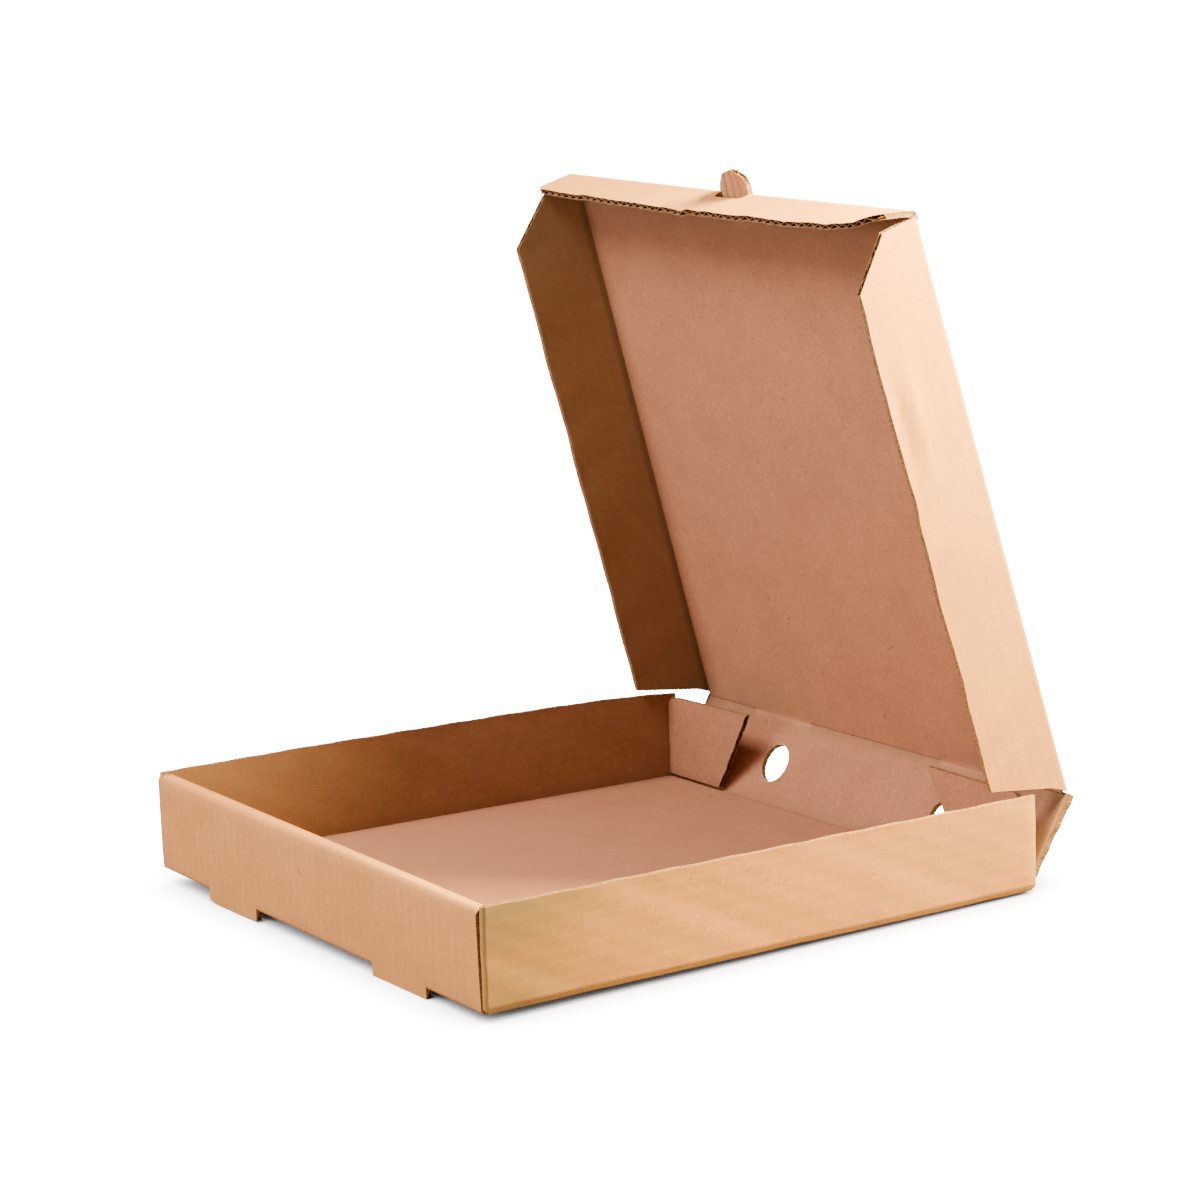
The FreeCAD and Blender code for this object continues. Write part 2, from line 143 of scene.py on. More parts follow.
# Light: pale light from all round, a strong warm soft box close behind the lid's right side,
# a cooler one above the front, which the lid's front flap shades, and a weak one low in front.

world = bpy.data.worlds.new("studio")
world.use_nodes = True
world.node_tree.nodes["Background"].inputs["Color"].default_value = (1.0, 0.94, 0.98, 1)
world.node_tree.nodes["Background"].inputs["Strength"].default_value = 0.30
bpy.context.scene.world = world


def soft_box(name, place, target, size, power, colour):
    """A square lamp at place that faces target."""
    lamp = bpy.data.objects.new(name, bpy.data.lights.new(name, "AREA"))
    lamp.data.size = size
    lamp.data.energy = power
    lamp.data.color = colour
    back = np.array(place, float) - np.array(target, float)
    back /= np.linalg.norm(back)
    right = np.cross((0.0, 0.0, 1.0), back)
    right /= np.linalg.norm(right)
    place_with_axes(lamp, place, (right, np.cross(back, right), back))


soft_box("key", (0.30, 0.30, 0.56), (0.13, 0.08, 0.18), 0.24, 62.0, (1.0, 0.80, 0.45))
soft_box("top_fill", (-0.10, -0.75, 1.20), (0.0, 0.0, 0.1), 0.5, 40.0, (1.0, 0.87, 0.90))
soft_box("front_fill", (-0.35, -1.25, 0.30), (0.0, -0.15, 0.02), 0.6, 17.0, (1.0, 0.82, 0.92))

# Floor of the tray: one panel of the box's single sheet of brown corrugated board, with the
# flutes running from front to back. The two feet were cut out of its front edge, which leaves
# two lock holes. Plies that lie on each other are ply_gap apart.

board = 0.0028
pitch = 0.0064
liner = 0.0003
medium = 0.00026
cell_depth = 0.007
half_board = board / 2
ply_gap = 0.00025
pressed_share = 0.35
edge_hollow = 0.0004
sharpest_bend = np.radians(50)
floor_rows = 60
olive = (0.20, 0.135, 0.045)
twist = 0.0012
box_half = np.array((0.150, 0.152))


class Value:
    """One output of a shader node. Python's operators on it add Math nodes."""

    def __init__(self, recipe, socket):
        self.recipe = recipe
        self.socket = socket

    def math(self, operation, first, second):
        return self.recipe.add("Math", {"operation": operation}, {0: first, 1: second})

    def __add__(self, other):
        return self.math("ADD", self, other)

    def __sub__(self, other):
        return self.math("SUBTRACT", self, other)

    def __rsub__(self, other):
        return self.math("SUBTRACT", other, self)

    def __mul__(self, other):
        return self.math("MULTIPLY", self, other)

    def between(self, low, high):
        """0 below low, 1 above high and a soft rise between them."""
        settings = {"interpolation_type": "SMOOTHSTEP"}
        return self.recipe.add("MapRange", settings, {0: self, 1: low, 2: high})

    __radd__ = __add__
    __rmul__ = __mul__


class Recipe:
    """The node tree of one material."""

    def __init__(self, name):
        self.material = bpy.data.materials.new(name)
        self.material.use_nodes = True
        self.tree = self.material.node_tree
        self.shader = self.tree.nodes["Principled BSDF"]

    def put(self, node, sockets):
        """Link or set each named or numbered input."""
        for key, value in sockets.items():
            socket = node.inputs[key]
            if isinstance(value, Value):
                self.tree.links.new(value.socket, socket)
            else:
                socket.default_value = value

    def add(self, kind, settings=None, sockets=None, output=0):
        """Any node: its type, its settings, its sockets, and the output that is wanted."""
        node = self.tree.nodes.new("ShaderNode" + kind)
        for key, value in (settings or {}).items():
            setattr(node, key, value)
        self.put(node, sockets or {})
        return Value(self, node.outputs[output])

    def noise(self, where, scale, detail=3.0, stretch=(1, 1, 1)):
        """Noise over a stretched copy of the coordinates."""
        place = self.add("Mapping", {}, {"Vector": where, "Scale": stretch})
        return self.add("TexNoise", {}, {"Vector": place, "Scale": scale, "Detail": detail,
                                         "Roughness": 0.6})

    def tint(self, amount, colour, other):
        """Mix two colours, or a colour into what is there already."""
        first = colour if isinstance(colour, Value) else (*colour, 1)
        return self.add("Mix", {"data_type": "RGBA"}, {0: amount, 6: first, 7: (*other, 1)}, 2)


def paper(name, colour, washboard):
    """Kraft liner: cloudy tone, brown specks, pale fibres, and faint stripes over the flutes.

    The vertex colours "marks" add what differs from place to place: red darkens creases, dirt
    and painted shade, green stains it olive and tints painted shade, and blue pales it for wear
    and painted light.
    """

    def shade(share):
        """The paper's own colour, darker for a share below 1 and paler above it."""
        return [c * share for c in colour]

    recipe = Recipe(name)
    place = recipe.add("TexCoord", output=3)
    flutes = recipe.add("UVMap", {"uv_map": "flutes"})
    across = recipe.add("SeparateXYZ", {}, {0: flutes}, 1)
    wobble = recipe.noise(place, 25.0, 2.0)
    wave = recipe.add(
        "Math", {"operation": "SINE"}, {0: across * (2 * np.pi / pitch) + wobble * 3.0})
    cloud = recipe.noise(place, 38.0, 4.0)
    grain = recipe.noise(place, 1400.0, 2.0)
    fleck = recipe.noise(place, 520.0, 2.0)
    fibre = recipe.noise(place, 420.0, 4.0, (1.0, 0.35, 1.0))
    speck = recipe.noise(place, 260.0, 2.0)
    marks = recipe.add("VertexColor", {"layer_name": "marks"})
    mark = [recipe.add("SeparateColor", {}, {0: marks}, channel) for channel in range(3)]

    tone = recipe.tint(cloud.between(0.35, 0.7), colour, shade(0.88))
    tone = recipe.tint(grain.between(0.40, 0.66) * 0.55, tone, shade(0.5))
    tone = recipe.tint(fleck.between(0.66, 0.72) * 0.55, tone, shade(1.5))
    tone = recipe.tint(fibre.between(0.55, 0.8) * 0.35, tone, shade(1.5))
    tone = recipe.tint(speck.between(0.70, 0.75) * 0.6, tone, shade(0.3))
    tone = recipe.tint(wave.between(-1.0, 1.0) * washboard, tone, shade(0.72))
    tone = recipe.tint(mark[0], tone, shade(0.25))
    tone = recipe.tint(mark[1], tone, olive)
    tone = recipe.tint(mark[2], tone, shade(1.45))
    height = wave * 0.03 + grain * 0.10 + fibre * 0.12 + cloud * 0.25
    bump = recipe.add("Bump", {}, {"Strength": 0.35, "Distance": 0.001, "Height": height})
    recipe.put(recipe.shader, {"Base Color": tone, "Normal": bump, "Specular IOR Level": 0.22,
                               "Roughness": 0.78 + cloud * 0.12})
    return recipe.material


def cut_edge(name, colour):
    """The board's raw edge: torn paper fibres, pale on the ridges and brown between them."""
    recipe = Recipe(name)
    place = recipe.add("TexCoord", output=3)
    tuft = recipe.noise(place, 700.0, 4.0)
    tone = recipe.tint(tuft.between(0.35, 0.7), colour, [c * 0.45 for c in colour])
    bump = recipe.add("Bump", {}, {"Strength": 0.8, "Distance": 0.001, "Height": tuft})
    recipe.put(recipe.shader, {"Base Color": tone, "Normal": bump, "Roughness": 0.9,
                               "Specular IOR Level": 0.15})
    return recipe.material


# The inner liner is darker than the outer one: partly its own colour, and partly painted shade for
# the box's shaded inside.
outer_paper = paper("kraft_outer", (0.50, 0.225, 0.052), 0.24)
inner_paper = paper("kraft_inner", (0.33, 0.150, 0.066), 0.10)
raw_edge = cut_edge("kraft_cut_edge", (0.25, 0.135, 0.05))
finishes = (outer_paper, inner_paper, raw_edge)
outer_slot, inner_slot, edge_slot = range(3)


def unit(vectors):
    """Each vector divided by its length."""
    return vectors / np.maximum(np.linalg.norm(vectors, axis=-1, keepdims=True), 1e-12)


def even(low, high, step):
    """Evenly spaced values from low to high, about step apart."""
    return np.linspace(low, high, int(np.ceil((high - low) / step)) + 1)


def with_cuts(values, cuts, width=1e-5):
    """The values, with two more close beside each cut, so that an outline can step there."""
    return np.unique(np.concatenate([values] + [(c - width, c + width) for c in cuts]))


def bell(distance, width):
    """1 at no distance, and falling smoothly towards 0 over about the width."""
    return np.exp(-(distance / width) ** 2)


def quads(index):
    """Four corners of every cell of a grid of vertex numbers."""
    return np.stack((index[:-1, :-1], index[:-1, 1:], index[1:, 1:], index[1:, :-1]),
                    axis=-1).reshape(-1, 4)


def board_piece(name, body, surface, u, v, open_ends=(False, False), marks=None):
    """A panel of corrugated board as one closed mesh.

    u runs along the flutes and v across them, both as grids. surface(u, v) gives the board's
    middle, its outward normal and how far it is pressed in a fold. The two faces lie half a
    board to each side, and less where a fold presses them. Along an open end the wave of the
    medium shows: it is amplitude * cos(2 pi v / pitch), and the cells beside it are hollow for
    cell_depth. marks(u, v, inside) gives the three marks of the paper.
    """
    u, v = np.broadcast_arrays(u, v)
    rows, columns = u.shape
    middle, out, fold = surface(u, v)
    top = middle + out * (half_board * (1 - pressed_share * np.maximum(-fold, 0)))[..., None]
    under = middle - out * (half_board * (1 - pressed_share * np.maximum(fold, 0)))[..., None]
    inset = edge_hollow * np.sin(np.pi * np.linspace(0, 1, rows))[:, None]
    left = middle[:, 0] + unit(middle[:, 1] - middle[:, 0]) * inset
    right = middle[:, -1] + unit(middle[:, -2] - middle[:, -1]) * inset
    points = [top.reshape(-1, 3), under.reshape(-1, 3), left, right]
    flat = np.stack((u, v), -1)
    places = [flat.reshape(-1, 2), flat.reshape(-1, 2), flat[:, 0], flat[:, -1]]
    count = rows * columns
    top_index = np.arange(count).reshape(rows, columns)
    under_index = top_index + count
    left_index = 2 * count + np.arange(rows)[:, None]
    right_index = left_index + rows
    faces = [quads(top_index),
             quads(np.hstack((top_index[:, -1:], right_index, under_index[:, -1:]))),
             quads(under_index[:, ::-1]),
             quads(np.hstack((under_index[:, :1], left_index, top_index[:, :1])))]
    finish = [outer_slot, edge_slot, inner_slot, edge_slot]
    total = 2 * count + 2 * rows
    amplitude = half_board - liner - medium / 2
    for last, is_open in zip((False, True), open_ends):
        row = -1 if last else 0
        stack = [top_index[row], under_index[row]]
        if is_open:
            wave = amplitude * np.cos(2 * np.pi * v[row] / pitch)
            flat_level = np.full(columns, half_board - liner)
            levels = (flat_level, wave + medium / 2, wave - medium / 2, -flat_level)
            reach = np.full(columns, -cell_depth if last else cell_depth)
            reach[[0, -1]] = 0
            deep, deep_out, _ = surface(u[row] + reach, v[row])
            mouth = [middle[row] + out[row] * level[:, None] for level in levels]
            depth = [deep + deep_out * level[:, None] for level in levels]
            rings = (mouth[0], depth[0], depth[1], mouth[1], mouth[2], depth[2], depth[3], mouth[3])
            ring_rows = [total + k * columns + np.arange(columns) for k in range(len(rings))]
            points.extend(rings)
            places.extend([flat[row]] * len(rings))
            total += len(rings) * columns
            stack = [top_index[row], *ring_rows, under_index[row]]
        cap = quads(np.array(stack))
        faces.append(cap if last else cap[:, ::-1])
        finish.append(edge_slot)
    patch = middle[rows // 2:rows // 2 + 2, columns // 2:columns // 2 + 2]
    turn = np.cross(patch[-1, 0] - patch[0, 0], patch[0, -1] - patch[0, 0])
    slots = np.concatenate([np.full(len(f), m) for f, m in zip(faces, finish)])
    faces = np.concatenate(faces)
    if np.dot(turn, out[rows // 2, columns // 2]) > 0:
        faces = faces[:, ::-1]
    mesh = bpy.data.meshes.new(name)
    mesh.from_pydata(np.concatenate(points).tolist(), [], faces.tolist())
    for material in finishes:
        mesh.materials.append(material)
    mesh.polygons.foreach_set("material_index", slots.astype(np.int32))
    loops = np.empty(len(mesh.loops), dtype=np.int32)
    mesh.loops.foreach_get("vertex_index", loops)
    sheet = mesh.uv_layers.new(name="flutes")
    sheet.data.foreach_set("uv", np.concatenate(places)[loops].astype(np.float32).ravel())
    tint = np.zeros((total, 4), np.float32)
    tint[:, 3] = 1
    if marks:
        tint[:count, :3] = np.stack(marks(u, v, False), -1).reshape(-1, 3).clip(0, 1)
        tint[count:2 * count, :3] = np.stack(marks(u, v, True), -1).reshape(-1, 3).clip(0, 1)
    mesh.color_attributes.new("marks", "FLOAT_COLOR", "POINT").data.foreach_set(
        "color", tint.ravel())
    mesh.polygons.foreach_set("use_smooth", slots != edge_slot)
    mesh.set_sharp_from_angle(angle=sharpest_bend)
    piece = bpy.data.objects.new(name, mesh)
    bpy.context.collection.objects.link(piece)
    if body:
        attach(piece, body)
    return piece


def racked(middle):
    """The whole box is slightly racked: height changes by twist * x * y, each over half the box."""
    middle[..., 2] += twist * (middle[..., 0] / box_half[0]) * (middle[..., 1] / box_half[1])
    return middle


half_width, half_depth = box_half
fold_radius = 0.0007
wall_x = half_width - half_board
floor_z = half_board
crease_reach = 0.0035
hole_rear = -half_depth + board * 3 + ply_gap * 3
foot_edges = np.array((0.0545, 0.1015))


def in_foot(x):
    """True where x is over a foot."""
    return (np.abs(x) > foot_edges[0]) & (np.abs(x) < foot_edges[1])


def floor_surface(u, v):
    """A level plane at half a board over the underside, its outer face down."""
    middle = racked(np.stack((v, u, np.full_like(u, floor_z)), -1))
    return middle, np.zeros_like(middle) + (0, 0, -1), np.zeros_like(u)


def floor_marks(u, v, inside):
    """Painted shade darkens the floor along its folds, where the walls rise from it, and
    painted light pales its middle inside.
    """
    edge = bell(wall_x - np.abs(v), 0.010) * 0.25 + bell(u + half_depth, 0.012) * 0.2
    return edge, 0 * u, 0.55 * bell(u + 0.05, 0.13) * inside


across = with_cuts(even(-wall_x + fold_radius, wall_x - fold_radius, 0.003),
                   np.concatenate((-foot_edges, foot_edges)))
low = np.where(in_foot(across), hole_rear, -half_depth + half_board + fold_radius)
floor_rear = half_depth - half_board - crease_reach
share = np.linspace(0, 1, floor_rows)[:, None]
tray_floor = board_piece("tray_floor", "tray", floor_surface, low + share * (floor_rear - low),
                         across[None, :], marks=floor_marks)
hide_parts("tray")

# Side walls: each is a panel of the same board that goes on, round an upright fold at either
# end, as a corner flap. The front flap is locked inside the front wall and the rear one
# stands free.

wall_height = 0.047
flap_low = 0.0038
rear_flap_top = 0.0462
front_flap_top = 0.0433
front_flap_y = -half_depth + board * 1.5 + ply_gap
rear_flap_y = half_depth - board * 1.5 - 0.0003
front_flap_end = half_width - board - 0.062
flap_end_top = half_width - board - 0.072
flap_end_low = half_width - board - 0.046
jog = 0.0022
upright_radius = 0.0004
corner_cut = 0.0008
front_corner_y = -half_depth + half_board + upright_radius
rear_corner_y = half_depth - half_board
wall_ripple = 0.0003
edge_ripple = 0.0003


class FoldLine:
    """The board's middle in section: straight runs through corners, each turn a round fold.

    A place on it is given by its distance s along the line. Over a fold the heading turns
    evenly with s, and on a run it keeps still. Before its start and past its end the line
    goes straight on.
    """

    def __init__(self, corners, radius, steps=6):
        corners = np.array(corners, float)
        runs = np.diff(corners, axis=0)
        lengths = np.hypot(runs[:, 0], runs[:, 1])
        ways = runs / lengths[:, None]
        heading = np.arctan2(runs[:, 1], runs[:, 0])
        turns = (np.diff(heading) + np.pi) % (2 * np.pi) - np.pi
        heading = heading[0] + np.concatenate(((0.0,), np.cumsum(turns)))
        share = np.linspace(0, 1, steps + 1)
        points, angles, bends = [corners[:1]], [heading[:1]], [np.zeros(1)]
        for i, turn in enumerate(turns):
            angle = heading[i] + turn * share
            side = np.sign(turn) * radius
            start = corners[i + 1] - ways[i] * radius * np.tan(abs(turn) / 2)
            centre = start + side * np.array((-np.sin(heading[i]), np.cos(heading[i])))
            points.append(centre - side * np.stack((-np.sin(angle), np.cos(angle)), axis=1))
            angles.append(angle)
            bends.append(np.sin(np.pi * share) * np.sign(turn))
        self.points = np.concatenate(points + [corners[-1:]])
        self.angles = np.concatenate(angles + [heading[-1:]])
        self.bends = np.concatenate(bends + [np.zeros(1)])
        gaps = np.hypot(*np.diff(self.points, axis=0).T)
        self.s = np.concatenate(((0.0,), np.cumsum(gaps)))
        self.length = self.s[-1]

    def at(self, s):
        """Place, unit normal to the left of the line's way, and how far into a fold."""
        inside = np.clip(s, 0.0, self.length)
        angle = np.interp(inside, self.s, self.angles)
        across = np.interp(inside, self.s, self.points[:, 0]) + (s - inside) * np.cos(angle)
        up = np.interp(inside, self.s, self.points[:, 1]) + (s - inside) * np.sin(angle)
        return across, up, -np.sin(angle), np.cos(angle), np.interp(inside, self.s, self.bends)

    def stations(self, low, high, step):
        """Distances from low to high: every step of the folds and even points between."""
        marks = np.unique(np.concatenate(((low,), self.s[(self.s > low) & (self.s < high)],
                                          (high,))))
        parts = np.maximum(1, np.ceil(np.diff(marks) / step)).astype(int)
        rows = [np.linspace(a, b, n, endpoint=False) for a, b, n in zip(marks, marks[1:], parts)]
        return np.concatenate(rows + [marks[-1:]])


def ripple(place, wave, seed):
    """An uneven line between about -1 and 1: five sines, each shorter and lower than the last."""
    dice = np.random.default_rng(seed)
    line = np.zeros_like(np.asarray(place, float))
    for n in range(1, 6):
        line += np.sin(2 * np.pi * (n * place / wave + dice.random())) / n
    return line / 2


wall_plan = FoldLine([(front_flap_end, front_flap_y), (wall_x - jog, front_flap_y),
                      (wall_x - upright_radius, front_corner_y),
                      (wall_x, front_corner_y + corner_cut), (wall_x, rear_corner_y),
                      (wall_x - corner_cut, rear_corner_y),
                      (wall_x - jog - corner_cut, rear_flap_y), (flap_end_top, rear_flap_y)],
                     upright_radius)
wall_section = FoldLine([(fold_radius * 1.01, floor_z), (0.0, floor_z), (0.0, wall_height)],
                        fold_radius)
wall_tops = {-1: ((-0.149, -0.079, 0.081, 0.118, 0.151), (0.0012, 0.0022, 0.0024, 0.0018, 0.0)),
             1: ((-0.149, 0.106, 0.152), (0.0008, -0.0008, -0.0012))}
wall_bows = {-1: 0.0022, 1: 0.0006}
wall_leans = {-1: 0.0020, 1: 0.0}


def wall_surface(side):
    """The side wall's board: wall_plan and wall_section together, its outer normal away from
    the box. It bows outwards by half a sine along its length, more towards its top, and the
    left one also leans out at its front end."""

    def surface(u, v):
        x, y, away_x, away_y, corner_fold = wall_plan.at(u)
        inset, z, normal_in, normal_up, foot_fold = wall_section.at(v)
        along = np.clip((y + half_depth) / (2 * half_depth), 0, 1)
        rise = np.clip(z / wall_height, 0, 1)
        x = x + wall_bows[side] * np.sin(np.pi * along) * rise ** 2
        x = x + wall_leans[side] * bell(y + half_depth, 0.05) * rise
        x = x + wall_ripple * ripple(y + 2 * z, 0.11, 5 + side)
        middle = np.stack((side * (x + away_x * inset), y + away_y * inset, z), -1)
        out = np.stack((side * away_x * normal_in, away_y * normal_in, normal_up), -1)
        return racked(middle), unit(out), corner_fold + foot_fold
    return surface


def wall_marks(side):
    """Painted shade along its foot inside, and worn pale at its upright folds: in the first
    one, and between the last two. The right wall has an olive stain near its front end and
    painted shade outside its rear corner flap, and the left one has painted shade inside: olive
    up to its rear corner flap, and darker on that flap."""

    def marks(u, v, inside):
        from_front = wall_plan.at(u)[1] + half_depth
        first_fold, last_folds = wall_plan.s[2], wall_plan.s[-9]
        # Painted shade where the wall meets the floor, inside.
        dark = 0.35 * bell(v, 0.006) * inside
        wear = 0.35 * (bell(u - first_fold, 0.0025) + bell(u - last_folds, 0.0025))
        stain = 0 * u
        # Painted shade inside the left wall: an olive tint, and darker on its rear corner flap.
        if side < 0 and inside:
            stain = stain + 0.40 * (u < last_folds)
            dark = dark + 0.12 * (u > last_folds)
        if side > 0 and not inside:
            near_top = bell(v - wall_height, 0.012)
            # A dark stain near the front end, and painted shade over the rear corner flap's outer
            # face.
            dark = dark + 0.35 * bell(from_front, 0.045) + 0.75 * (u > last_folds)
            stain = 0.65 * bell(from_front - 0.004, 0.040) * (0.6 + 0.4 * ripple(v, 0.03, 3))
            stain = stain + 0.45 * bell(from_front - 0.004, 0.07) * near_top
        return dark, stain, wear
    return marks


for side_name, side in (("left", -1), ("right", 1)):
    stations = wall_plan.stations(0.0, wall_plan.length, 0.005)
    _, y_along, _, _, _ = wall_plan.at(stations)
    fold_front = np.interp(wall_x - jog, wall_plan.points[:10, 0], wall_plan.s[:10])
    fold_rear = wall_plan.length - (wall_x - jog - flap_end_top)
    share = even(0.0, 1.0, pitch / 4 / wall_height)
    full = wall_section.length
    is_front, is_rear = stations < fold_front, stations > fold_rear
    low = np.where(is_front | is_rear, flap_low, 0.0)
    rise_at, rise = wall_tops[side]
    high = full + np.interp(y_along, rise_at, rise)
    high = high + edge_ripple * ripple(stations, 0.03, 8 + side)
    root = bell(stations - fold_rear, 0.003)
    rear_top = full - (wall_height - rear_flap_top) - 0.003 * root
    rear_top = rear_top + 0.0012 * np.clip((stations - fold_rear) / 0.07, 0, 1)
    high = np.where(is_rear, rear_top, high)
    high = np.where(is_front, full - (wall_height - front_flap_top), high)
    v = low[:, None] + share[None, :] * (high - low)[:, None]
    slant = (flap_end_low - flap_end_top) * (1 - share)[None, :]
    ragged = 0.0004 * ripple(share, 0.3, 11 + side)[None, :]
    past = np.clip((stations[:, None] - fold_rear) / (wall_plan.length - fold_rear), 0, 1)
    u = stations[:, None] - (slant + ragged) * past
    wall = board_piece(f"tray_{side_name}_wall", "tray", wall_surface(side), u, v,
                       open_ends=(True, True), marks=wall_marks(side))
    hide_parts("tray")

# Front wall: the board goes up, over two creases a strip apart, and down again inside.
# Two feet go on down from it past the floor's edge, and locking tabs hold the inner panel.

front_top = 0.0464
front_middle_y = -half_depth + half_board
inner_middle_y = -half_depth + board * 2.5 + ply_gap * 2
shoulder_radius = 0.0012
foot_reach = 0.0053
tab_reach = 0.0034
tab_edges = np.array((0.0565, 0.0995))
inner_bow = 0.0005
left_rise = 0.0006
front_ripple = 0.0004
front_line = FoldLine([(front_middle_y, floor_z + fold_radius),
                       (front_middle_y, front_top - half_board),
                       (inner_middle_y, front_top - half_board), (inner_middle_y, board)],
                      shoulder_radius)


def front_surface(u, v):
    """front_line carried along X. Before its start the board turns in under the floor's edge,
    or goes straight on down where x is over a foot. The inner panel bows in at its middle, the
    outer one ripples towards its top, and the top rises a little to the left."""
    y, z, away_y, away_z, fold = front_line.at(np.maximum(u, 0))
    turn = np.clip(-u / fold_radius, 0, np.pi / 2)
    bent = (u < 0) & ~in_foot(v)
    y = np.where(bent, y + fold_radius * (1 - np.cos(turn)), y)
    z = np.where(bent, z - fold_radius * np.sin(turn), z + np.minimum(u, 0))
    away_y = np.where(bent, np.cos(turn) * away_y, away_y)
    away_z = np.where(bent, -np.sin(turn), away_z)
    inner = np.clip((y - front_middle_y) / (inner_middle_y - front_middle_y), 0, 1)
    y = y + inner * inner_bow * np.cos(np.pi * v / (2 * half_width))
    z = z + left_rise * np.clip(z / front_top, 0, 1) * np.clip(-v / half_width, 0, 1)
    rise = np.clip(z / front_top, 0, 1)
    y = y + (1 - inner) * front_ripple * ripple(v + z, 0.16, 21) * rise
    middle = racked(np.stack((v, y, z), -1))
    return middle, unit(np.stack((0 * u, away_y, away_z), -1)), fold


def front_marks(u, v, inside):
    """The two creases over the top are worn, and the inner panel is darker at its foot."""
    shoulder = front_top - floor_z - half_board
    worn = 0.30 * bell(u - shoulder, 0.0012) + 0.25 * bell(u - shoulder - 0.006, 0.0012)
    shade = 0.25 * bell(u - front_line.length, 0.008)
    return shade, 0 * u, worn * (1 - inside)


left_end, right_foot_end, right_top_end = -0.1500, 0.1476, 0.1456
trim_start = 0.12
across = with_cuts(even(left_end, right_foot_end, pitch / 8),
                   np.concatenate((-foot_edges, foot_edges, -tab_edges, tab_edges)))
stations = front_line.stations(0.0, front_line.length, 0.004)
below = np.where(in_foot(across), foot_reach + floor_z + fold_radius, fold_radius * np.pi / 2)
below = below + in_foot(across) * 0.0007 * ripple(across, 0.05, 31)
in_tab = (np.abs(across) > tab_edges[0]) & (np.abs(across) < tab_edges[1])
beyond = np.where(in_tab, board + tab_reach, 0.0)
u = np.vstack([-below * share for share in (1.0, 0.75, 0.5, 0.25)]
              + [np.full_like(across, s) for s in stations]
              + [front_line.length + beyond * share for share in (0.5, 1.0)])
trim = (right_foot_end - right_top_end) * np.clip(u / front_top, 0, 1)
inner_trim = 0.0022 * (u > front_top)
v = across - trim * np.clip((across - trim_start) / (right_foot_end - trim_start), 0, 1)
v = v - wall_leans[-1] * np.clip(u / front_top, 0, 1) * np.clip(
    -(across + trim_start) / 0.03, 0, 1)
v = v - inner_trim * np.sign(across) * np.clip((np.abs(across) - trim_start) / 0.027, 0, 1)
front_wall = board_piece("tray_front_wall", "tray", front_surface, u, v,
                         open_ends=(True, True), marks=front_marks)
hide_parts("tray")

# Back wall: it leans back from the floor's rear crease. The lid hangs on two uncut
# stretches of its top edge, and between them the two are slit apart. Two vents are punched.

joints = {joint["name"]: joint for joint in frame["record"]["behaviour"]["joints"]}
back_foot = np.array(joints["back_wall_fold"]["pos_m"])
hinge = np.array(joints["lid_hinge"]["pos_m"])
x_way = np.array((1.0, 0.0, 0.0))
back_way = unit(hinge - back_foot)
back_out = np.cross(back_way, x_way)
back_length = np.linalg.norm(hinge - back_foot)
back_half_width = 0.146
bridges = ((-0.102, -0.0536), (0.0524, 0.102))
bridge_reach = 0.004
vent_x = 0.070
vent_up = 0.023 - half_board
vent_radius = 0.010
right_vent_drop = 0.0022
dent_x = 0.085
dent_depth = 0.0010
back_ripple = 0.0003
back_rows = 22
lid_lean = np.radians(16)
lid_way = np.array((0.0, -np.sin(lid_lean), np.cos(lid_lean)))
lid_out = np.array((0.0, np.cos(lid_lean), np.sin(lid_lean)))


def in_bridge(x):
    """True where the lid's crease is left uncut."""
    return sum((x > low) & (x < high) for low, high in bridges) > 0


def back_rack(u, v):
    """The twist of the box on the back wall: upwards at its foot, turning evenly to the
    lid's own way out at its top."""
    share = np.clip(u / back_length, 0, 1)[..., None]
    way = (1 - share) * np.array((0.0, 0.0, 1.0)) + share * lid_out
    return (twist * v / half_width)[..., None] * way


def back_surface(u, v):
    """A plane from the foot crease upwards, leaning back, racked with the box. It has a shallow
    dent towards its right end and a faint uneven ripple, which fades at its foot and top."""
    middle = back_foot + u[..., None] * back_way + v[..., None] * x_way + back_rack(u, v)
    dent = dent_depth * bell(v - dent_x, 0.012) * bell(u - 0.02, 0.012)
    inside = np.sin(np.pi * np.clip((u - crease_reach) / (back_length - 0.014), 0, 1))
    height = inside * back_ripple * ripple(v + u, 0.09, 41) - dent
    middle = middle + height[..., None] * back_out
    return middle, np.zeros_like(middle) + back_out, np.zeros_like(u)


def back_marks(u, v, inside):
    """Crushed and grey by the hinge crease, with painted shade at its foot inside and behind
    the right corner flap, and pale at the torn right edge. A pale line runs across the dent."""
    crush_and_shade = 0.35 * bell(u - back_length, 0.004) + 0.20 * bell(u, 0.005)
    fold_mark = 0.45 * bell(v - dent_x - 0.25 * (u - 0.03), 0.0012) * bell(u - 0.035, 0.012)
    pale = 0.5 * bell(v - back_half_width, 0.0015)
    # Painted shade on the inner face behind the right corner flap.
    crush_and_shade = crush_and_shade + 0.9 * np.clip((v - 0.132) / 0.008, 0, 1)
    return crush_and_shade * inside, 0.25 * bell(u - back_length, 0.005) * inside, pale + fold_mark * inside


